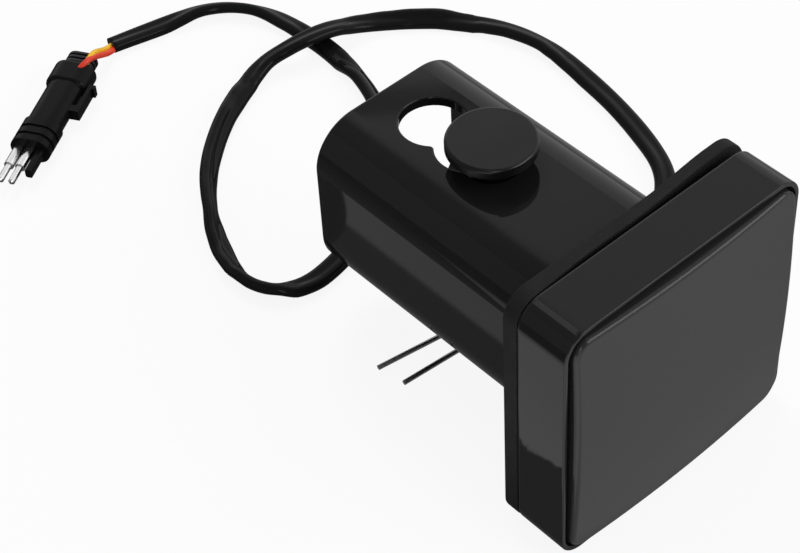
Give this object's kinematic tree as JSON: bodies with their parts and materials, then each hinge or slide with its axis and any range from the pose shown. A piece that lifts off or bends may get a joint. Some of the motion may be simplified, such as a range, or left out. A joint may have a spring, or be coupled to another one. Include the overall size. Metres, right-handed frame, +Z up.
{
  "type": "led trailer brake light",
  "caption": "Square smoked-lens brake light on a hollow tube that plugs into a receiver and is held by a pin and wire clip, with a soft pad and a lead with a connector.",
  "frame": {"origin": "on the tube's axis, in the plane where the pad's rear face meets the mouth of the receiver", "axes": "+Y back along the tube into the receiver, +Z up, the lens looks along -Y, +X is the side where the cable leaves"},
  "size_m": [0.1573, 0.2395, 0.0792],
  "materials": {
    "tube_plastic": "gloss",
    "head_plastic": "gloss",
    "lens_smoke": "gloss",
    "pad_foam": "matt",
    "pin_steel": "satin",
    "cap_plastic": "satin",
    "clip_steel": "satin",
    "cable_pvc": "gloss",
    "core_yellow": "satin",
    "core_red": "satin",
    "connector_nylon": "satin",
    "seal_rubber": "satin",
    "terminal_tin": "polished",
    "board_white": "satin",
    "emitter": "gloss",
    "component_black": "satin",
    "screw_steel": "satin"
  },
  "bodies": {
    "light": {"hitch_tube": "tube_plastic", "flange_screws": "screw_steel", "light_housing": "head_plastic", "gasket_pad": "pad_foam", "lens": "lens_smoke", "lens_seal": "seal_rubber", "led_board": "board_white", "led_emitters": "emitter", "resistors": "component_black", "diodes": "component_black", "board_screws": "screw_steel", "cable_gland": "cable_pvc", "lead_yellow": "core_yellow", "lead_red": "core_red", "cable_sleeve": "cable_pvc", "wire_yellow": "core_yellow", "wire_red": "core_red", "connector_body": "connector_nylon", "connector_seal": "seal_rubber", "terminal_pins": "terminal_tin"},
    "pin": {"hitch_pin": "pin_steel", "pin_cap": "cap_plastic", "hairpin_clip": "clip_steel"}
  },
  "joints": [
    {"name": "pin_slide", "type": "slide", "parent": "light", "child": "pin", "axis": [0, 0, 1], "range_m": [-0.0053, 0.0101]}
  ]
}
